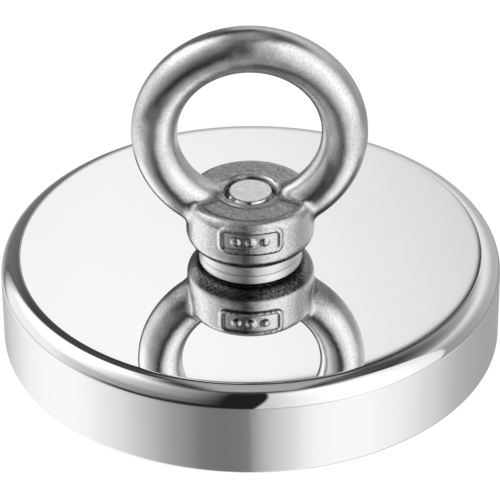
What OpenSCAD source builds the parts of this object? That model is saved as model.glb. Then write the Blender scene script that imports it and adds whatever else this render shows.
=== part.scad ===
// Magnet fishing magnet: a steel pot magnet with a screwed-on lifting eye nut.
// Millimetres, +Z up. The origin is the middle of the pull face, level with the cup's rim.
// The ring of the eye stands in the XZ plane when the nut is screwed home.

/* [Steel cup] */
// Outside diameter of the cup
cup_d = 97; // [92:0.5:120]
// Height of the cup, from its rim to its flat top
cup_h = 18; // [16:0.5:22]
// Thickness of the cup's side wall
cup_wall = 6.5; // [5:0.5:9]
// Thickness of the cup's top plate
cup_top = 8; // [6.5:0.5:9]
// Radius of the rounded edge between the top and the side
cup_edge_r = 3.8; // [1:0.1:4.5]
// Bevel round the outside of the rim
rim_bevel = 0.6; // [0.2:0.1:1.5]
// Diameter of the clearance hole for the bolt
bolt_hole_d = 10.5; // [10.3:0.1:11.5]

/* [Ring magnet] */
// Gap between the magnet and the side wall, filled with resin
wall_gap = 2; // [1:0.25:4]
// Diameter of the hole in the magnet
magnet_bore_d = 26; // [24.6:0.2:32]
// How far the magnet's working face lies inside the rim
magnet_recess = 0.4; // [0.1:0.1:0.8]
// Bevel on the magnet's four edges
magnet_bevel = 0.4; // [0.1:0.1:0.8]
// Thickness of the glue film between the magnet and the top plate
bond_t = 0.2; // [0.1:0.05:0.4]
// How far the resin in the gaps lies inside the rim
resin_recess = 0.7; // [0.5:0.1:1.2]

/* [Centre bush] */
// Outside diameter of the bush that carries the bolt's head
bush_d = 23; // [21.4:0.2:24]
// How far the bush's face lies inside the rim
bush_recess = 0.4; // [0.1:0.1:0.8]

/* [Countersunk bolt] */
// Thread diameter of the bolt
bolt_d = 10; // [9.6:0.1:10.2]
// Length of the bolt, head included
bolt_len = 30; // [28:0.5:31]
// Diameter of the countersunk head
head_d = 20; // [18:0.5:20.5]
// Height of the straight rim round the head
head_rim_h = 0.5; // [0.3:0.1:1]
// How far the head's face lies inside the rim
head_recess = 1.2; // [0.4:0.1:1.4]
// Size across the flats of the hexagon socket
socket_af = 6; // [5:0.5:7]
// Depth of the hexagon socket
socket_depth = 3.8; // [2.5:0.1:4.5]
// Bevel on the far end of the bolt
bolt_end_bevel = 1; // [0.4:0.1:1.5]

/* [Washer] */
// Outside diameter of the washer
washer_d = 20; // [18:0.2:24]
// Thickness of the washer
washer_t = 2; // [1.6:0.1:2.5]
// Diameter of the washer's hole
washer_hole_d = 10.5; // [10.3:0.1:11.5]
// Small bevel on every washer edge
washer_bevel = 0.25; // [0.1:0.05:0.4]

/* [Eye nut] */
// Outside diameter of the ring
ring_d = 45; // [42:0.5:46]
// Diameter of the hole in the ring
ring_hole_d = 27.4; // [26.6:0.2:30]
// How far the ring's lowest point lies above the nut's seat, inside the boss
ring_foot = 1.85; // [1.4:0.05:2.2]
// Diameter of the round boss
boss_d = 24.8; // [22:0.2:27]
// Height of the boss
boss_h = 11.2; // [10.6:0.1:12]
// Radius of the boss's lower edge
boss_foot_r = 3.4; // [1:0.1:4]
// Radius of the boss's upper edge
boss_top_r = 2; // [0.3:0.1:2.5]
// Mouth diameter of the bevel at each end of the threaded hole
thread_mouth_d = 11; // [10.6:0.1:11.6]
// Running clearance all round between the bolt and the nut
thread_clearance = 0.05; // [0.02:0.01:0.1]

/* [Hidden] */
$fn = 128;

cut = 1; // how far a cutter runs past the face it opens
cup_r = cup_d / 2;
pocket_r = cup_r - cup_wall;
pocket_top = cup_h - cup_top;
magnet_r = pocket_r - wall_gap;
magnet_bore_r = magnet_bore_d / 2;
magnet_top = pocket_top - bond_t;
bush_r = bush_d / 2;
bolt_r = bolt_d / 2;
bolt_hole_r = bolt_hole_d / 2;
head_r = head_d / 2;
head_cone_start = head_recess + head_rim_h;
head_cone_end = head_cone_start + head_r - bolt_r; // the head's cone is 90 degrees
bolt_tip = head_recess + bolt_len;
nut_seat = cup_h + washer_t;
ring_tube_r = (ring_d - ring_hole_d) / 4;
ring_centre_r = (ring_d + ring_hole_d) / 4;
ring_centre_z = nut_seat + ring_foot + ring_d / 2;
nut_bore_r = bolt_r + thread_clearance;
mouth_r = thread_mouth_d / 2;
mouth_h = mouth_r - nut_bore_r;

// A flat ring between two radii, from height z0 up to z1
module tube_ring(inner_r, outer_r, z0, z1) {
    translate([0, 0, z0])
        difference() {
            cylinder(r = outer_r, h = z1 - z0);
            translate([0, 0, -cut])
                cylinder(r = inner_r, h = z1 - z0 + 2 * cut);
        }
}

// A flat ring whose four edges are bevelled
module bevelled_ring(inner_r, outer_r, z0, z1, bevel) {
    rotate_extrude()
        polygon([
            [inner_r, z0 + bevel],
            [inner_r + bevel, z0],
            [outer_r - bevel, z0],
            [outer_r, z0 + bevel],
            [outer_r, z1 - bevel],
            [outer_r - bevel, z1],
            [inner_r + bevel, z1],
            [inner_r, z1 - bevel]
        ]);
}

// Points of a quarter circle round [x, y], anticlockwise from the start angle
function quarter(x, y, r, start, steps = 8) =
    [for (i = [0 : steps]) [x + r * cos(start + 90 * i / steps), y + r * sin(start + 90 * i / steps)]];

// A solid disc with a rounded upper edge and a rounded lower edge
module rounded_disc(r, z0, z1, foot_r, top_r) {
    rotate_extrude()
        polygon(concat(
            [[0, z0]],
            quarter(r - foot_r, z0 + foot_r, foot_r, -90),
            quarter(r - top_r, z1 - top_r, top_r, 0),
            [[0, z1]]
        ));
}

// Turned steel cup: one piece with the top plate, open below, drilled for the bolt
module steel_cup() {
    color("gainsboro")
        difference() {
            rotate_extrude()
                polygon(concat(
                    [[0, 0], [cup_r - rim_bevel, 0], [cup_r, rim_bevel]],
                    quarter(cup_r - cup_edge_r, cup_h - cup_edge_r, cup_edge_r, 0, 12),
                    [[0, cup_h]]
                ));
            translate([0, 0, -cut])
                cylinder(r = pocket_r, h = pocket_top + cut);
            cylinder(r = bolt_hole_r, h = cup_h + cut);
        }
}

// Neodymium ring, magnetised through its thickness
module ring_magnet() {
    color("silver")
        bevelled_ring(magnet_bore_r, magnet_r, magnet_recess, magnet_top, magnet_bevel);
}

// Glue film between the magnet's back and the top plate
module magnet_bond() {
    color("dimgray")
        tube_ring(magnet_bore_r + magnet_bevel, magnet_r - magnet_bevel, magnet_top, pocket_top);
}

// Potting resin between the magnet and the side wall
module gap_resin() {
    color("darkslategray")
        tube_ring(magnet_r, pocket_r, resin_recess + magnet_bevel, pocket_top);
}

// Potting resin between the magnet's hole and the bush
module bush_resin() {
    color("darkslategray")
        tube_ring(bush_r, magnet_bore_r, resin_recess + magnet_bevel, pocket_top);
}

// Non-magnetic bush with a countersunk seat, which carries the bolt's pull to the top plate
module centre_bush() {
    color("goldenrod")
        difference() {
            translate([0, 0, bush_recess])
                cylinder(r = bush_r, h = pocket_top - bush_recess);
            translate([0, 0, -cut])
                cylinder(r = bolt_hole_r, h = pocket_top + 2 * cut);
            translate([0, 0, head_cone_start])
                cylinder(r1 = head_r, r2 = bolt_hole_r, h = head_r - bolt_hole_r);
            translate([0, 0, -cut])
                cylinder(r = head_r, h = cut + head_cone_start);
        }
}

// Countersunk bolt, head down, with its plain thread cylinder standing out of the cup
module countersunk_bolt() {
    color("lightgray")
        difference() {
            rotate_extrude()
                polygon([
                    [0, head_recess],
                    [head_r, head_recess],
                    [head_r, head_cone_start],
                    [bolt_r, head_cone_end],
                    [bolt_r, bolt_tip - bolt_end_bevel],
                    [bolt_r - bolt_end_bevel, bolt_tip],
                    [0, bolt_tip]
                ]);
            translate([0, 0, head_recess - cut])
                cylinder(d = socket_af / cos(30), h = socket_depth + cut, $fn = 6);
        }
}

// Flat washer between the cup's top and the nut
module flat_washer() {
    color("silver")
        bevelled_ring(washer_hole_d / 2, washer_d / 2, cup_h, nut_seat, washer_bevel);
}

// Forged lifting eye nut: a ring that grows out of a round, threaded boss
module eye_nut() {
    color("lightsteelblue")
        difference() {
            union() {
                rounded_disc(boss_d / 2, nut_seat, nut_seat + boss_h, boss_foot_r, boss_top_r);
                translate([0, 0, ring_centre_z])
                    rotate([90, 0, 0])
                        rotate_extrude()
                            translate([ring_centre_r, 0])
                                circle(r = ring_tube_r);
            }
            translate([0, 0, nut_seat - cut])
                cylinder(r = nut_bore_r, h = boss_h + 2 * cut);
            translate([0, 0, nut_seat + boss_h - mouth_h])
                cylinder(r1 = nut_bore_r, r2 = mouth_r + cut, h = mouth_h + cut);
            translate([0, 0, nut_seat - cut])
                cylinder(r1 = mouth_r + cut, r2 = nut_bore_r, h = mouth_h + cut);
        }
}

steel_cup();
ring_magnet();
magnet_bond();
gap_resin();
bush_resin();
centre_bush();
countersunk_bolt();
flat_washer();
eye_nut();
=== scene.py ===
"""Looks of the magnet fishing magnet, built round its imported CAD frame.

Shapes are worked out in millimetres (+Z up, origin in the middle of the pull face) and written to
Blender in metres. A detailed mesh stands for every CAD node but the hidden glue film: turned pieces
are skins of rings round Z, the bolt carries a real helical thread, and the eye nut is one smooth
blend of ring and boss, meshed from a distance field, with its thread cut through it.
"""

import math

import bpy
import numpy as np
from mathutils import Matrix, Vector


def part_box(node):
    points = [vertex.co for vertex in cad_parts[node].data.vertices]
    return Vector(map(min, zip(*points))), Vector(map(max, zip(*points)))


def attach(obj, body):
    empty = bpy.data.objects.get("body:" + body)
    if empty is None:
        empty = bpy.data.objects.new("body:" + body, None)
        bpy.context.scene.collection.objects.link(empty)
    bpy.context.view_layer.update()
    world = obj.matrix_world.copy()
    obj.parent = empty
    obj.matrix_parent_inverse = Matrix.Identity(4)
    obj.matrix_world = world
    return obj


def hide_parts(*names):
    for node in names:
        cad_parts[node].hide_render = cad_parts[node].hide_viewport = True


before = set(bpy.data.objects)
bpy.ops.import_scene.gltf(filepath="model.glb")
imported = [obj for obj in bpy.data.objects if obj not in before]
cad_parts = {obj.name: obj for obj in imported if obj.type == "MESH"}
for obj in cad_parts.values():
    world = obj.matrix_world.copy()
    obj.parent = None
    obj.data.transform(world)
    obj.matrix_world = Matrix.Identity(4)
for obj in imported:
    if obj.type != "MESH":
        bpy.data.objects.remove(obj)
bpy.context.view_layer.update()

MM = 0.001
AROUND = 256  # points round a turned piece
ARC_STEPS = 14  # steps in a quarter turn of 1 mm radius
CUP_AROUND = 384
THREAD_AROUND = 96
THREAD_PITCH = 1.5
THREAD_STEP = THREAD_PITCH / 20  # height from one row of a thread's skin to the next


# ---------------------------------------------------------------- sizes, from the frame


def low(node):
    """The height of a CAD node's lowest point, in mm."""
    return round(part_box(node)[0].z / MM, 3)


def high(node):
    """The height of a CAD node's highest point, in mm."""
    return round(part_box(node)[1].z / MM, 3)


def radii(node):
    """A CAD node's smallest and largest distance from the Z axis, in mm."""
    reach = [math.hypot(v.co.x, v.co.y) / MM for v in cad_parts[node].data.vertices]
    return round(min(reach), 3), round(max(reach), 3)


CUP_HOLE, CUP_R = radii("steel_cup")
CUP_H = high("steel_cup")
POCKET_R = radii("gap_resin")[1]
POCKET_TOP = high("gap_resin")
MAGNET_HOLE, MAGNET_R = radii("ring_magnet")
BUSH_R = radii("centre_bush")[1]
HEAD_R = radii("countersunk_bolt")[1]
HEAD_FACE = low("countersunk_bolt")
BOLT_TIP = high("countersunk_bolt")
NUT_SEAT = low("eye_nut")
NUT_TOP = high("eye_nut")
EDGE_R = 3.8  # the cup's rounded top edge

BOLT_R = 5.0  # nominal radius of the bolt's thread
THREAD_R = 4.95  # crest of the bolt's thread
THREAD_ROOT_R = 4.1
NUT_CREST_R = 4.25  # crest of the nut's thread
NUT_CLEARANCE = 0.07
HEAD_RIM = 0.5  # height of the straight rim round the bolt's head
CONE_TOP = HEAD_FACE + HEAD_RIM + HEAD_R - BOLT_R  # where the head's cone ends and the thread starts
SOCKET_R = 3.0  # from the middle of the hexagon socket to its flats
SOCKET_TOP = HEAD_FACE + 3.8
TIP_R = 4.0  # the flat at the bolt's bevelled end

RING_R = radii("eye_nut")[1]
RING_HOLE_R = 13.7
RING_MID_R = (RING_R + RING_HOLE_R) / 2
TUBE_R = (RING_R - RING_HOLE_R) / 2
RING_Z = NUT_TOP - RING_R
BOSS_R = 12.4
BOSS_TOP = NUT_SEAT + 11.2
BOSS_FOOT_RADIUS = 3.4
BOSS_TOP_RADIUS = 2.0
MARK_Z = NUT_SEAT + 7.3  # height of the middle of the raised mark on the boss
MARK_RELIEF = 0.34  # how far the mark stands out
LIP_R = 5.8  # the raised lip round the threaded hole
LIP_HEIGHT = 0.4
TOP_MOUTH_R = 5.4  # the bevels at the two ends of the threaded hole
FOOT_MOUTH_R = 5.5
EYE_CELL = 0.3  # spacing of the grid that the eye nut is meshed on


# ---------------------------------------------------------------- mesh tools


def make_piece(name, points, faces, node, body, materials, crease=35.0):
    """A smooth mesh piece from points in mm, which stands for a CAD node and rides on its body."""
    mesh = bpy.data.meshes.new(name)
    mesh.from_pydata((np.asarray(points) * MM).tolist(), [], faces)
    mesh.validate()
    mesh.shade_smooth()
    mesh.set_sharp_from_angle(angle=math.radians(crease))
    for material in materials:
        mesh.materials.append(material)
    piece = bpy.data.objects.new(name, mesh)
    bpy.context.scene.collection.objects.link(piece)
    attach(piece, body)
    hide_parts(node)
    return piece


def outline(corners, guard=0.06):
    """A closed outline of (radius, height) from corners (radius, height, rounding).

    Each rounded corner becomes an arc, with one guard point just before and after it, so that the
    smooth normals of the arc don't run on into the flat next to it.
    """
    points = []
    count = len(corners)
    for i, (x, y, rounding) in enumerate(corners):
        here = np.array([x, y], float)
        back = np.array(corners[i - 1][:2], float) - here
        ahead = np.array(corners[(i + 1) % count][:2], float) - here
        back_len = np.linalg.norm(back)
        ahead_len = np.linalg.norm(ahead)
        back /= back_len
        ahead /= ahead_len
        if rounding <= 0:
            points.append(here)
            continue
        half = math.acos(float(np.clip(back @ ahead, -1, 1))) / 2
        reach = rounding / math.tan(half)
        middle = (back + ahead) / np.linalg.norm(back + ahead)
        centre = here + middle * rounding / math.sin(half)
        start = here + back * reach - centre
        end = here + ahead * reach - centre
        turn = math.copysign(math.pi - 2 * half, start[0] * end[1] - start[1] * end[0])
        steps = max(3, math.ceil(math.sqrt(rounding) * ARC_STEPS * abs(turn) / (math.pi / 2)))
        if back_len > reach + guard * 2:
            points.append(here + back * (reach + guard))
        for s in range(steps + 1):
            a = turn * s / steps
            c, d = math.cos(a), math.sin(a)
            points.append(centre + np.array([c * start[0] - d * start[1], d * start[0] + c * start[1]]))
        if ahead_len > reach + guard * 2:
            points.append(here + ahead * (reach + guard))
    return points


def angles(around):
    """Evenly spaced angles round Z, from +X."""
    return np.arange(around) * 2 * math.pi / around


def skin(rows, around=AROUND, loop=False):
    """Points and faces of a skin through rows, each (radius, height) at every angle round Z.

    A radius or height may be one number or a value per angle. A skin that isn't a loop is closed
    with a pole at each end, so its first and last rows are given as the pole's height alone.
    """
    angle = angles(around)
    body = rows if loop else rows[1:-1]
    points = []
    for radius, height in body:
        radius = np.broadcast_to(np.asarray(radius, float), around)
        height = np.broadcast_to(np.asarray(height, float), around)
        points.append(np.stack([radius * np.cos(angle), radius * np.sin(angle), height], 1))
    points = np.concatenate(points)
    faces = []
    spans = len(body) if loop else len(body) - 1
    for i in range(spans):
        a = i * around
        b = ((i + 1) % len(body)) * around
        for j in range(around):
            k = (j + 1) % around
            faces.append((a + j, a + k, b + k, b + j))
    if not loop:
        first = len(points)
        last = first + 1
        end = (len(body) - 1) * around
        points = np.concatenate([points, [[0, 0, rows[0]], [0, 0, rows[-1]]]])
        for j in range(around):
            k = (j + 1) % around
            faces.append((first, k, j))
            faces.append((last, end + j, end + k))
    return points, faces


def turned_ring(name, corners, node, body, material, around=AROUND):
    """A turned piece with a hole: its corners are given anticlockwise in (radius, height)."""
    points, faces = skin([tuple(p) for p in outline(corners)], around, loop=True)
    return make_piece(name, points, faces, node, body, [material])


def thread_depth(phase):
    """How deep a 60-degree thread is at a phase of its pitch from 0 to 1: 0 on the crest, 1 in the root."""
    crest, flank = 0.16, 0.62  # shares of half a pitch; what is left is the root's flat
    from_crest = np.abs((phase + 0.5) % 1.0 - 0.5) * 2
    return np.clip((from_crest - crest) / flank, 0, 1)


def thread_phase(angle, height):
    """The phase of a right-hand M10 thread at an angle and a height."""
    return height / THREAD_PITCH - angle / (2 * math.pi)


def bolt_thread_radius(angle, height):
    """The bolt's radius at an angle and a height, in the thread."""
    return THREAD_R - (THREAD_R - THREAD_ROOT_R) * thread_depth(thread_phase(angle, height))


def nut_thread_radius(angle, height):
    """The threaded hole's radius: the bolt's thread with clearance, its inner crest cut back."""
    return np.maximum(bolt_thread_radius(angle, height) + NUT_CLEARANCE, NUT_CREST_R)


# ---------------------------------------------------------------- distance field of the eye nut


def blend_union(a, b, reach):
    """The union of two distance fields, filleted where they meet within reach."""
    mix = np.clip(0.5 + 0.5 * (b - a) / reach, 0, 1)
    return b * (1 - mix) + a * mix - reach * mix * (1 - mix)


def smooth_step(value, start, end):
    """0 before start, 1 after end, and a smooth ramp between."""
    t = np.clip((value - start) / (end - start), 0, 1)
    return t * t * (3 - 2 * t)


def mark_field(across, up):
    """Distance from the raised mark on the boss: a rounded frame with three round pips in it."""
    half_width, half_height, corner = 5.9, 2.3, 1.1
    half_line = 0.38
    pip_gap, pip_r = 2.9, 0.75
    qx = np.abs(across) - (half_width - corner)
    qy = np.abs(up) - (half_height - corner)
    rounded = np.hypot(np.maximum(qx, 0), np.maximum(qy, 0)) + np.minimum(np.maximum(qx, qy), 0) - corner
    mark = np.abs(rounded) - half_line
    for place in (-pip_gap, 0.0, pip_gap):
        mark = np.minimum(mark, np.hypot(across - place, up) - pip_r)
    return mark


def eye_field(p):
    """Signed distance, in mm, from the eye nut without its threaded hole, at points p.

    Products of sines leave the ring and the boss as slightly uneven as a casting.
    """
    x, y, z = p[..., 0], p[..., 1], p[..., 2]
    ring = np.hypot(np.hypot(x, z - RING_Z) - RING_MID_R, y) - TUBE_R
    ring += 0.018 * np.sin(1.31 * x + 0.6) * np.sin(1.17 * z + 1.9) * np.cos(0.9 * y)

    middle = (NUT_SEAT + BOSS_TOP) / 2
    rounding = np.where(z > middle, BOSS_TOP_RADIUS, BOSS_FOOT_RADIUS)
    out = np.hypot(x, y) - BOSS_R + rounding
    up = np.abs(z - middle) - (BOSS_TOP - NUT_SEAT) / 2 + rounding
    boss = np.hypot(np.maximum(out, 0), np.maximum(up, 0)) + np.minimum(np.maximum(out, up), 0) - rounding

    boss += 0.012 * np.sin(1.9 * x + 0.4) * np.sin(2.1 * y + 1.2)
    across = BOSS_R * np.arctan2(x, -y)
    flank = smooth_step(mark_field(across, z - MARK_Z), -MARK_RELIEF, MARK_RELIEF)
    boss -= MARK_RELIEF * (1 - flank) * smooth_step(-y, 2, 5)

    fillet = 0.1 + 1.1 * smooth_step(z, NUT_SEAT + 3, NUT_SEAT + 7)  # full at the top, slight below
    whole = blend_union(ring, boss, fillet)
    lip = np.hypot(np.hypot(x, y) - LIP_R, z - BOSS_TOP) - LIP_HEIGHT
    whole = blend_union(whole, lip, LIP_HEIGHT)
    return np.maximum(whole, NUT_SEAT - z)


def surface_net(field, axes):
    """Points and quads of the zero surface of a field, sampled on the grid of three axes."""
    grid = np.stack(np.meshgrid(*axes, indexing="ij"), -1)
    value = np.concatenate([field(slab)[None] for slab in grid])
    shape = np.array(value.shape)
    cells = shape - 1
    total = np.zeros((int(np.prod(cells)), 3))
    hits = np.zeros(int(np.prod(cells)))
    quads = []
    for axis in range(3):
        side_a, side_b = (axis + 1) % 3, (axis + 2) % 3
        ahead = [slice(None)] * 3
        ahead[axis] = slice(1, None)
        behind = [slice(None)] * 3
        behind[axis] = slice(None, -1)
        inside_behind = value[tuple(behind)] < 0
        inside_ahead = value[tuple(ahead)] < 0
        at = np.argwhere(inside_behind != inside_ahead)
        at = at[(at[:, side_a] > 0) & (at[:, side_b] > 0)]
        at = at[(at[:, side_a] < cells[side_a]) & (at[:, side_b] < cells[side_b])]
        step = np.zeros(3, int)
        step[axis] = 1
        v0 = value[tuple(at.T)]
        v1 = value[tuple((at + step).T)]
        share = v0 / (v0 - v1)
        cross = grid[tuple(at.T)] * (1 - share[:, None]) + grid[tuple((at + step).T)] * share[:, None]
        corners = []
        for da, db in ((1, 1), (0, 1), (0, 0), (1, 0)):
            cell = at.copy()
            cell[:, side_a] -= da
            cell[:, side_b] -= db
            flat = np.ravel_multi_index(tuple(cell.T), tuple(cells))
            np.add.at(total, flat, cross)
            np.add.at(hits, flat, 1)
            corners.append(flat)
        quad = np.stack(corners, 1)
        outward = v0 < 0
        quads.append(np.where(outward[:, None], quad, quad[:, ::-1]))
    used = np.flatnonzero(hits)
    index = np.full(len(hits), -1)
    index[used] = np.arange(len(used))
    return total[used] / hits[used][:, None], index[np.concatenate(quads)]


def settle(points, quads, field, rounds=6):
    """Evens out a net's points and puts them back exactly on the field's zero surface."""
    step = 0.01
    least_slope = 0.2
    ends = np.concatenate([quads[:, [0, 1]], quads[:, [1, 2]], quads[:, [2, 3]], quads[:, [3, 0]]])
    for _ in range(rounds):
        total = np.zeros_like(points)
        count = np.zeros(len(points))
        for a, b in ((0, 1), (1, 0)):
            np.add.at(total, ends[:, a], points[ends[:, b]])
            np.add.at(count, ends[:, a], 1)
        points = points * 0.5 + total / count[:, None] * 0.5
        for _ in range(2):
            value = field(points)
            rise = [field(points + axis * step) - field(points - axis * step) for axis in np.eye(3)]
            slope = np.stack(rise, 1) / (2 * step)
            points = points - slope * (value / np.maximum((slope**2).sum(1), least_slope))[:, None]
    return points


# ---------------------------------------------------------------- node maths


class Signal:
    """A number from a shader node's output, so that node maths reads as ordinary sums."""

    def __init__(self, tree, socket):
        self.tree = tree
        self.socket = socket

    def math(self, operation, *others):
        """A Math node of this number and up to two more."""
        node = self.tree.nodes.new("ShaderNodeMath")
        node.operation = operation
        self.tree.links.new(self.socket, node.inputs[0])
        for place, other in enumerate(others, 1):
            if isinstance(other, Signal):
                self.tree.links.new(other.socket, node.inputs[place])
            else:
                node.inputs[place].default_value = other
        return Signal(self.tree, node.outputs[0])

    def __add__(self, other):
        return self.math("ADD", other)

    def __sub__(self, other):
        return self.math("SUBTRACT", other)

    def __mul__(self, other):
        return self.math("MULTIPLY", other)

    def __truediv__(self, other):
        return self.math("DIVIDE", other)

    def above(self, start, end):
        """0 below start, 1 above end, and a smooth ramp between. Start may be above end."""
        return self.to_range(start, end, 0, 1, "SMOOTHSTEP")

    def to_range(self, start, end, to_start, to_end, curve="LINEAR"):
        """Maps start…end to to_start…to_end, clamped."""
        node = self.tree.nodes.new("ShaderNodeMapRange")
        node.interpolation_type = curve
        self.tree.links.new(self.socket, node.inputs["Value"])
        node.inputs["From Min"].default_value = start
        node.inputs["From Max"].default_value = end
        node.inputs["To Min"].default_value = to_start
        node.inputs["To Max"].default_value = to_end
        return Signal(self.tree, node.outputs["Result"])

    def curve(self, stops, end):
        """A smooth curve through stops of (this number from 0 to end, result from 0 to 1)."""
        node = self.tree.nodes.new("ShaderNodeFloatCurve")
        line = node.mapping.curves[0]
        line.points[0].location = (0, stops[0][1])
        line.points[1].location = (1, stops[-1][1])
        for place, result in stops[1:-1]:
            line.points.new(place / end, result)
        node.mapping.update()
        self.tree.links.new((self / end).socket, node.inputs["Value"])
        return Signal(self.tree, node.outputs["Value"])

    def through(self, stops):
        """Straight lines through stops of (this number, result), in rising order."""
        result = self.to_range(stops[0][0], stops[1][0], stops[0][1], stops[1][1])
        for (start, was), (end, becomes) in zip(stops[1:], stops[2:]):
            result = result + self.to_range(start, end, 0, becomes - was)
        return result


def greatest(first, *others):
    """The greatest of several signals."""
    for other in others:
        first = first.math("MAXIMUM", other)
    return first


def split_vector(tree, socket):
    """The X, Y and Z of a vector output, as signals."""
    node = tree.nodes.new("ShaderNodeSeparateXYZ")
    tree.links.new(socket, node.inputs[0])
    return [Signal(tree, out) for out in node.outputs]


def join_vector(tree, *parts):
    """A vector output from three signals or numbers."""
    node = tree.nodes.new("ShaderNodeCombineXYZ")
    for place, part in enumerate(parts):
        if isinstance(part, Signal):
            tree.links.new(part.socket, node.inputs[place])
        else:
            node.inputs[place].default_value = part
    return node.outputs[0]


def noise(tree, vector, per_mm, detail=2.0, rough=0.5):
    """Noise from 0 to 1, with per_mm lumps in a millimetre."""
    node = tree.nodes.new("ShaderNodeTexNoise")
    node.inputs["Scale"].default_value = per_mm / MM
    node.inputs["Detail"].default_value = detail
    node.inputs["Roughness"].default_value = rough
    tree.links.new(vector, node.inputs["Vector"])
    return Signal(tree, node.outputs["Fac"])


# ---------------------------------------------------------------- materials


class Finish:
    """A Principled material that is being put together, with its place on the piece in mm."""

    def __init__(self, name, metallic=1.0, ior=1.5, coat=0.0):
        self.material = bpy.data.materials.new(name)
        self.material.use_nodes = True
        self.tree = self.material.node_tree
        self.shader = self.tree.nodes["Principled BSDF"]
        self.shader.inputs["Metallic"].default_value = metallic
        self.shader.inputs["IOR"].default_value = ior
        self.shader.inputs["Coat Weight"].default_value = coat
        self.shader.inputs["Coat Roughness"].default_value = 0.08
        where = self.tree.nodes.new("ShaderNodeTexCoord")
        self.place = where.outputs["Object"]
        x, y, self.z = split_vector(self.tree, self.place)
        self.radius = (x * x + y * y).math("SQRT") * (1 / MM)
        self.angle = y.math("ARCTAN2", x)
        self.aside = x.math("ABSOLUTE") * (1 / MM)
        self.height = self.z * (1 / MM)
        self.up = split_vector(self.tree, where.outputs["Normal"])[2]

    def noise(self, per_mm, detail=2.0, rough=0.5):
        """Even noise over the piece."""
        return noise(self.tree, self.place, per_mm, detail, rough)

    def turning_marks(self, per_mm, length=1.5):
        """Fine circular streaks left by a lathe tool, length radians long."""
        vector = join_vector(self.tree, self.angle * (MM / length), self.radius * MM, self.z)
        return noise(self.tree, vector, per_mm, 3.0, 0.6)

    def colour(self, first, second, share):
        """The base colour goes from the first to the second as share goes from 0 to 1."""
        node = self.tree.nodes.new("ShaderNodeMix")
        node.data_type = "RGBA"
        node.inputs["A"].default_value = (*first, 1)
        node.inputs["B"].default_value = (*second, 1)
        self.tree.links.new(share.socket, node.inputs["Factor"])
        self.tree.links.new(node.outputs["Result"], self.shader.inputs["Base Color"])

    def roughness(self, value):
        """The roughness, from a signal."""
        self.tree.links.new(value.socket, self.shader.inputs["Roughness"])

    def bump(self, height, depth_mm):
        """A bump as deep as depth_mm where the signal height goes from 0 to 1. Returns the material."""
        node = self.tree.nodes.new("ShaderNodeBump")
        node.inputs["Strength"].default_value = 1.0
        node.inputs["Distance"].default_value = depth_mm * MM
        self.tree.links.new(height.socket, node.inputs["Height"])
        self.tree.links.new(node.outputs["Normal"], self.shader.inputs["Normal"])
        return self.material


def grey(value, warmth=0.0):
    """A neutral colour, with a trace of warmth."""
    return (value * (1 + warmth), value, value * (1 - warmth))


def nickel_plate():
    """Polished nickel plating: a mirror, with faint haze where cloths have wiped it."""
    f = Finish("nickel_plating")
    haze = f.noise(0.05, 3.0)
    wipes = f.turning_marks(2.0, 0.6)
    f.colour(grey(0.925, 0.003), grey(0.955, 0.003), haze)
    f.roughness(haze * 0.02 + wipes * 0.008 + 0.002)
    return f.bump(wipes, 0.00002)


def cast_stainless():
    """Cast stainless steel, blasted and tumbled: satin and grainy, with a duller boss, and painted shade
    that darkens the boss's foot, its underside and its threaded hole.

    The boss's flat top, its rounded foot, its underside and the threaded hole are told apart by
    height, by radius and by how far the surface faces up.
    """
    f = Finish("blasted_stainless")
    grain = f.noise(2.2, 5.0, 0.85)
    lumps = f.noise(0.55, 2.0)
    patches = f.noise(0.16, 2.0)
    boss = f.height.above(BOSS_TOP + 1.5, BOSS_TOP - 0.5)
    top_face = f.up.above(0.93, 0.99) * f.height.above(BOSS_TOP + 0.5, BOSS_TOP + 0.15)
    foot = f.up.above(-0.2, -0.42) * f.height.above(BOSS_TOP, BOSS_TOP - 3)
    under = foot * f.up.above(-0.8, -0.97)
    # Painted shade inside the threaded hole.
    hole = f.radius.above(TOP_MOUTH_R - 0.15, BOLT_R) * f.height.above(BOSS_TOP + 1, BOSS_TOP + 0.2)
    lighter_shade_at_sides = f.aside.above(BOSS_R - 2.8, BOSS_R - 1.4)  # the painted shade on the foot is lighter at its two sides
    mottled = (grain - 0.5) * (top_face * 0.7 + 1.2) + patches * 0.08
    # Painted shade: the downward-facing foot and underside of the boss, and the inside of the threaded
    # hole, are painted darker.
    painted_shade = foot * (lighter_shade_at_sides * -0.34 + 0.74) + under * 0.1 + hole * 0.65
    # The boss's duller tone and its grain, together with the painted shade.
    dull_and_painted_shade = boss * 0.15 + top_face * 0.1 + painted_shade + mottled
    f.colour(grey(0.79), grey(0.02), dull_and_painted_shade.to_range(0, 1, 0, 1))
    f.roughness(grain * 0.18 + top_face * 0.05 + 0.06)
    return f.bump(grain * (boss * 0.15 + top_face * 0.45 + 1) + lumps * 0.35, 0.03)


def bolt_steel():
    """Plated bolt steel: circular saw and lathe marks on its flat ends, and a darker thread."""
    f = Finish("bolt_steel")
    marks = f.turning_marks(3.0)
    mottle = f.noise(1.1, 3.0)
    thread = f.height.above(CONE_TOP, CONE_TOP + 1)
    thread = thread * f.height.to_range(BOLT_TIP - 1, BOLT_TIP - 0.02, 1, 0)
    f.colour(grey(0.97, 0.005), grey(0.1, 0.01), marks * 0.14 + mottle * 0.14 + thread * 0.5)
    f.roughness(mottle * 0.14 + 0.08)
    return f.bump(marks * 0.6 + mottle, 0.008)


def washer_steel():
    """A stamped washer: satin, with streaks round its edge."""
    f = Finish("washer_steel")
    streaks = f.turning_marks(5.0, 0.8)
    patches = f.noise(0.5, 3.0)
    f.colour(grey(0.72), grey(0.97), streaks * 0.6 + patches * 0.4)
    f.roughness(streaks * 0.14 + patches * 0.1 + 0.24)
    return f.bump(streaks, 0.03)


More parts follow.
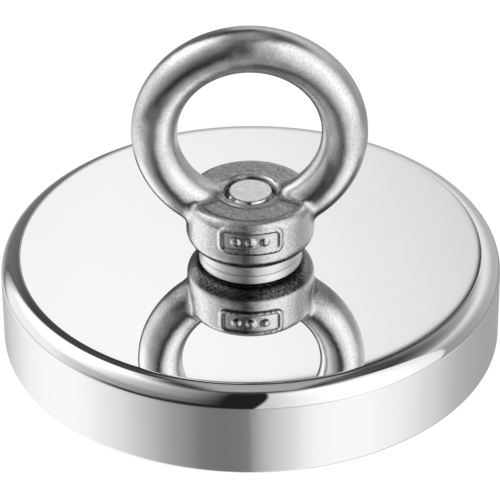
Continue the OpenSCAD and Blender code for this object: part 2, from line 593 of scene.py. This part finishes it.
def magnet_plate():
    """Satin plating on the sintered magnet, scuffed by use."""
    f = Finish("magnet_plating")
    scuffs = f.noise(0.35, 5.0, 0.7)
    grain = f.noise(4.0, 2.0)
    f.colour(grey(0.56, 0.015), grey(0.74, 0.015), scuffs)
    f.roughness(scuffs * 0.22 + grain * 0.06 + 0.16)
    return f.bump(grain * 0.4 + scuffs, 0.006)


def black_resin():
    """Black potting resin, glossy and a little uneven."""
    f = Finish("potting_resin", metallic=0.0, ior=1.55, coat=0.3)
    waves = f.noise(0.35, 2.0)
    pits = f.noise(2.2, 1.0).above(0.7, 0.8)
    f.colour(grey(0.012), grey(0.03), waves)
    f.roughness(waves * 0.12 + pits * 0.3 + 0.16)
    return f.bump(waves - pits * 0.3, 0.12)


def brass_bush():
    """Turned brass, dulled a little."""
    f = Finish("turned_brass")
    marks = f.turning_marks(4.0)
    tarnish = f.noise(0.4, 4.0)
    f.colour((0.5, 0.34, 0.14), (0.83, 0.63, 0.3), marks * 0.35 + tarnish * 0.65)
    f.roughness(tarnish * 0.18 + marks * 0.08 + 0.14)
    return f.bump(marks, 0.01)


# ---------------------------------------------------------------- pieces


def make_cup(material):
    """The cup: rounded top edge, small bevel at the rim, square pocket for the magnet."""
    corners = [
        (POCKET_R, 0, 0.35),
        (CUP_R, 0, 0.6),
        (CUP_R, CUP_H, EDGE_R),
        (CUP_HOLE, CUP_H, 0.25),
        (CUP_HOLE, POCKET_TOP, 0.2),
        (POCKET_R, POCKET_TOP, 0.5),
    ]
    turned_ring("cup", corners, "steel_cup", "magnet", material, CUP_AROUND)


def make_magnet(material):
    """The ring magnet, with tumbled edges."""
    foot, top = low("ring_magnet"), high("ring_magnet")
    corners = [
        (MAGNET_HOLE, foot, 0.5),
        (MAGNET_R, foot, 0.5),
        (MAGNET_R, top, 0.4),
        (MAGNET_HOLE, top, 0.4),
    ]
    turned_ring("magnet_ring", corners, "ring_magnet", "magnet", material)


def make_resin_ring(name, node, inner, outer, material):
    """Resin that filled a gap: its free face sags between the two walls that it wets."""
    foot = low(node)
    middle = (inner + outer) / 2
    flat = 0.35  # half the width of the level stretch in the middle
    sag = 0.3
    corners = [
        (inner, foot - sag, 0),
        (middle - flat, foot, 0.8),
        (middle + flat, foot, 0.8),
        (outer, foot - sag, 0),
        (outer, POCKET_TOP, 0),
        (inner, POCKET_TOP, 0),
    ]
    turned_ring(name, corners, node, "magnet", material)


def make_bush(material):
    """The centre bush, with the countersink that the bolt's head sits in."""
    foot = low("centre_bush")
    seat = foot + 0.7  # a little further in than the bolt's cone starts
    corners = [
        (HEAD_R, foot, 0.12),
        (BUSH_R, foot, 0.3),
        (BUSH_R, POCKET_TOP, 0.2),
        (CUP_HOLE, POCKET_TOP, 0.2),
        (CUP_HOLE, seat + HEAD_R - CUP_HOLE, 0),
        (HEAD_R, seat, 0),
    ]
    turned_ring("bush", corners, "centre_bush", "magnet", material)


def make_washer(material):
    """The flat washer, with edges rounded by stamping."""
    inner, outer = radii("flat_washer")
    foot, top = low("flat_washer"), high("flat_washer")
    corners = [(inner, foot, 0.2), (outer, foot, 0.25), (outer, top, 0.4), (inner, top, 0.3)]
    turned_ring("washer_plain", corners, "flat_washer", "washer", material)


def make_bolt(material):
    """The countersunk bolt: hexagon socket, head, cone, thread and bevelled end."""
    angle = angles(THREAD_AROUND)
    hexagon = SOCKET_R / np.cos((angle % (math.pi / 3)) - math.pi / 6)
    mouth_r = 3.4  # the round bevel at the socket's mouth
    head_r = HEAD_R - 0.1
    rows = [
        SOCKET_TOP + 0.9,
        (2.6, SOCKET_TOP),
        (hexagon - 0.02, SOCKET_TOP),
        (hexagon, SOCKET_TOP - 0.06),
        (hexagon, HEAD_FACE + 0.3),
        (np.maximum(hexagon, mouth_r - 0.05), HEAD_FACE + 0.06),
        (np.maximum(hexagon, mouth_r) + 0.05, HEAD_FACE),
        (head_r - 0.36, HEAD_FACE),
        (head_r - 0.3, HEAD_FACE),
        (head_r - 0.09, HEAD_FACE + 0.09),
        (head_r, HEAD_FACE + 0.3),
        (head_r, HEAD_FACE + 0.55),
    ]
    for height in np.arange(CONE_TOP, BOLT_TIP - THREAD_STEP / 2, THREAD_STEP):
        bevel = TIP_R + 0.06 + (BOLT_TIP - height)
        rows.append((np.minimum(bolt_thread_radius(angle, height), bevel), height))
    rows += [
        (TIP_R, BOLT_TIP - 0.04),
        (TIP_R - 0.1, BOLT_TIP),
        (TIP_R - 0.16, BOLT_TIP),
        (TIP_R / 2, BOLT_TIP),
        BOLT_TIP,
    ]
    points, faces = skin(rows, THREAD_AROUND)
    make_piece("bolt", points, faces, "countersunk_bolt", "magnet", [material], 30)


def thread_cutter():
    """A solid that cuts the nut's threaded hole, with a bevel at each of its mouths."""
    angle = angles(THREAD_AROUND)
    over = 1.0  # how far the cutter runs past the nut
    lip_top = BOSS_TOP + 0.6 * LIP_HEIGHT
    rows = [NUT_SEAT - over]
    for height in np.arange(NUT_SEAT - over, BOSS_TOP + over + THREAD_STEP / 2, THREAD_STEP):
        bevel = max(FOOT_MOUTH_R + NUT_SEAT - height, TOP_MOUTH_R + height - lip_top)
        rows.append((np.maximum(nut_thread_radius(angle, height), bevel), height))
    rows.append(BOSS_TOP + over)
    points, faces = skin(rows, THREAD_AROUND)
    mesh = bpy.data.meshes.new("thread_cutter")
    mesh.from_pydata((points * MM).tolist(), [], faces)
    cutter = bpy.data.objects.new("thread_cutter", mesh)
    bpy.context.scene.collection.objects.link(cutter)
    return cutter


def make_eye_nut(material):
    """The eye nut: its cast outside from the distance field, then its thread cut through it."""
    reach_x = RING_R + 1
    reach_y = BOSS_R + 1
    axes = [
        np.arange(-reach_x, reach_x + EYE_CELL, EYE_CELL),
        np.arange(-reach_y, reach_y + EYE_CELL, EYE_CELL),
        np.arange(NUT_SEAT - 0.85, NUT_TOP + 1, EYE_CELL),
    ]
    points, quads = surface_net(eye_field, axes)
    points = settle(points, quads, eye_field)
    nut = make_piece("eye", points, quads.tolist(), "eye_nut", "eye", [material], 60)
    cutter = thread_cutter()
    cut = nut.modifiers.new("thread", "BOOLEAN")
    cut.operation = "DIFFERENCE"
    cut.solver = "MANIFOLD"
    cut.object = cutter
    depsgraph = bpy.context.evaluated_depsgraph_get()
    drilled = bpy.data.meshes.new_from_object(nut.evaluated_get(depsgraph))
    nut.modifiers.clear()
    nut.data = drilled
    nut.data.shade_smooth()
    nut.data.set_sharp_from_angle(angle=math.radians(32))
    bpy.data.objects.remove(cutter)


# ---------------------------------------------------------------- studio


# The floor's glow below the horizon, as (degrees from the front through +X, light).
SKIRT = [
    (0, 0.28),
    (18, 0.7),
    (44, 0.98),
    (66, 0.91),
    (91, 0.68),
    (125, 0.4),
    (150, 0.37),
    (180, 0.42),
    (218, 0.71),
    (246, 0.96),
    (264, 0.98),
    (286, 0.85),
    (309, 0.55),
    (330, 0.27),
    (347, 0.165),
    (360, 0.28),
]


# In the plane (x / z, y / z) above the object, the back panel is a disc. The cup's flat top mirrors it.
PANEL_X = -0.004
PANEL_Y = 1.523
PANEL_R = 0.131


class Sky:
    """The directions out of the object, as signals for the world light."""

    def __init__(self, tree):
        where = tree.nodes.new("ShaderNodeTexCoord")
        x, y, self.rise = split_vector(tree, where.outputs["Generated"])
        degree = 180 / math.pi
        self.azimuth = x.math("ARCTAN2", y * -1) * degree  # 0 in front, towards -Y, and 90 at +X
        self.elevation = self.rise.math("ARCSINE") * degree
        self.turn = (self.azimuth + 360).math("MODULO", 360)  # 180 behind, so nothing jumps there
        self.aside = x / self.rise
        self.back = y / self.rise
        across = self.aside - PANEL_X
        along = self.back - PANEL_Y
        self.panel_reach = (across * across + along * along).math("SQRT")


def left_box(sky):
    """The soft box at the left: brightest at the object's side, and fading towards the front."""
    stops = [(-94, 1.4), (-82, 1.02), (-74, 0.86), (-58, 0.54), (-42, 0.36), (-30, 0.25), (-12, 0)]
    light = sky.azimuth.through(stops) * sky.azimuth.above(-144, -128) * sky.elevation.above(75, 59)
    return light * sky.elevation.to_range(12, 30, 0.64, 1, "SMOOTHSTEP")


def right_box(sky):
    """The soft box at the right, whose edge towards the front leans over."""
    stops = [(6, 0.6), (22, 0.92), (32, 1.05), (42, 1.35), (56, 1.3), (72, 1.0), (88, 0.8)]
    leaning = sky.azimuth - sky.elevation * 0.11
    light = sky.azimuth.through(stops) * leaning.above(2, 4.5) * sky.azimuth.above(92, 87)
    return light * sky.elevation.above(74, 56)


def back_card(sky):
    """The card behind and to the right: brightest 30 degrees up, and dark close round the panel."""
    stops = [(10, 0.45), (20, 0.6), (30, 0.8), (35, 0.7), (39, 0.42), (50, 0.17), (58, 0.05)]
    light = sky.elevation.through(stops) * sky.turn.to_range(92, 140, 0.72, 1, "SMOOTHSTEP")
    light = light * sky.turn.above(86, 90) * sky.turn.above(194, 182)
    light = light * greatest(sky.elevation.above(37, 34), sky.turn.above(178, 158))
    return light * greatest(sky.panel_reach.above(0.13, 0.23), sky.rise.above(0.1, 0))


def back_panel(sky):
    """The bright panel high behind, which is a little brighter to the left."""
    light = sky.aside * -0.9 - sky.aside * sky.aside * 6 - (sky.back - PANEL_Y) * 0.3 + 0.92
    return light * sky.panel_reach.above(PANEL_R + 0.0025, PANEL_R) * sky.rise.above(0, 0.1)


def corner_glow(sky):
    """A dim glow behind and to the left."""
    stops = [(-30, 0.5), (-18, 0.38), (0, 0.16), (30, 0.12), (40, 0.04)]
    return sky.elevation.through(stops) * sky.turn.above(182, 192) * sky.turn.above(228, 214)


def overhead_box(sky):
    """A dim box overhead, which reaches further back than forward."""
    light = sky.aside.above(-0.24, -0.1) * sky.aside.above(0.26, 0.16)
    light = light * sky.back.above(-0.3, -0.15) * sky.back.above(0.74, 0.62)
    return light * sky.rise.above(0.1, 0.2) * 0.32


def floor_glow(sky):
    """The pale floor's glow, well below the horizon."""
    return sky.turn.curve(SKIRT, 360) * sky.elevation.above(-16, -26)


def front_gap(sky):
    """The dark gap in the left box's front part, just below the horizon, with a tail to the left."""
    notch = sky.elevation.above(4, -8) * sky.elevation.above(-26, -16) * sky.azimuth.above(-58, -26)
    tail = sky.elevation.above(-5, -11) * sky.elevation.above(-30, -24) * sky.azimuth.above(-82, -52)
    return greatest(notch, tail) * sky.azimuth.above(9, 7)


def make_studio_light():
    """Soft boxes and cards round the object, as a world light. The camera itself sees plain white."""
    world = bpy.data.worlds.new("studio")
    world.use_nodes = True
    bpy.context.scene.world = world
    tree = world.node_tree
    tree.nodes.clear()

    sky = Sky(tree)
    left = left_box(sky) * (front_gap(sky) * -0.95 + 1)
    boxes = greatest(left, right_box(sky), back_card(sky)) * sky.elevation.above(-30, -14)
    light = greatest(boxes, back_panel(sky), corner_glow(sky), overhead_box(sky), floor_glow(sky))
    ceiling = sky.elevation.above(60, 72) * 0.04
    darkest = 0.015  # no direction is quite black
    light = light + ceiling + darkest

    studio = tree.nodes.new("ShaderNodeBackground")
    tree.links.new(light.socket, studio.inputs["Color"])
    backdrop = tree.nodes.new("ShaderNodeBackground")
    backdrop.inputs["Color"].default_value = (1, 1, 1, 1)
    seen = tree.nodes.new("ShaderNodeLightPath")
    mix = tree.nodes.new("ShaderNodeMixShader")
    tree.links.new(seen.outputs["Is Camera Ray"], mix.inputs["Fac"])
    tree.links.new(studio.outputs[0], mix.inputs[1])
    tree.links.new(backdrop.outputs[0], mix.inputs[2])
    out = tree.nodes.new("ShaderNodeOutputWorld")
    tree.links.new(mix.outputs[0], out.inputs["Surface"])


def make_floor():
    """A plain pale floor, lit evenly, which doesn't show from below."""
    half = 3.0
    corners = [(-half, -half, 0), (half, -half, 0), (half, half, 0), (-half, half, 0)]
    mesh = bpy.data.meshes.new("floor")
    mesh.from_pydata(corners, [], [(0, 1, 2, 3)])
    floor = bpy.data.objects.new("floor", mesh)
    bpy.context.scene.collection.objects.link(floor)
    floor.location.z = -0.05 * MM
    floor.visible_glossy = False
    floor.visible_diffuse = False
    floor.visible_shadow = False

    material = bpy.data.materials.new("floor")
    material.use_nodes = True
    tree = material.node_tree
    tree.nodes.clear()
    glow = tree.nodes.new("ShaderNodeEmission")
    glow.inputs["Strength"].default_value = 0.95
    paint = tree.nodes.new("ShaderNodeBsdfDiffuse")
    paint.inputs["Color"].default_value = (0.16, 0.16, 0.16, 1)
    both = tree.nodes.new("ShaderNodeAddShader")
    tree.links.new(glow.outputs[0], both.inputs[0])
    tree.links.new(paint.outputs[0], both.inputs[1])
    clear = tree.nodes.new("ShaderNodeBsdfTransparent")
    side = tree.nodes.new("ShaderNodeNewGeometry")
    mix = tree.nodes.new("ShaderNodeMixShader")
    tree.links.new(side.outputs["Backfacing"], mix.inputs["Fac"])
    tree.links.new(both.outputs[0], mix.inputs[1])
    tree.links.new(clear.outputs[0], mix.inputs[2])
    out = tree.nodes.new("ShaderNodeOutputMaterial")
    tree.links.new(mix.outputs[0], out.inputs["Surface"])
    mesh.materials.append(material)


def make_camera():
    """A long lens from in front, looking down on the cup's top. Lengths are in metres."""
    elevation = math.radians(33.373)
    distance = 0.62946
    target = Vector((-0.0001, 0, 0.01756))
    roll = math.radians(-0.47)
    data = bpy.data.cameras.new("camera")
    data.sensor_width = 36
    data.lens = 233.33
    data.clip_start = 0.01
    data.clip_end = 20
    camera = bpy.data.objects.new("camera", data)
    bpy.context.scene.collection.objects.link(camera)
    back = Vector((0, -math.cos(elevation), math.sin(elevation)))
    place = Matrix.Translation(target + back * distance)
    facing = back.to_track_quat("Z", "Y").to_matrix().to_4x4()
    camera.matrix_world = place @ facing @ Matrix.Rotation(roll, 4, "Z")
    bpy.context.scene.camera = camera


# ---------------------------------------------------------------- the whole scene

steel_of_cup = nickel_plate()
resin = black_resin()

make_cup(steel_of_cup)
make_magnet(magnet_plate())
make_resin_ring("resin_outer", "gap_resin", MAGNET_R, POCKET_R, resin)
make_resin_ring("resin_inner", "bush_resin", BUSH_R, MAGNET_HOLE, resin)
make_bush(brass_bush())
make_bolt(bolt_steel())
make_washer(washer_steel())
make_eye_nut(cast_stainless())

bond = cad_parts["magnet_bond"]
bond.data.materials.clear()
bond.data.materials.append(resin)

make_studio_light()
make_floor()
make_camera()
bpy.context.scene.view_settings.view_transform = "Standard"
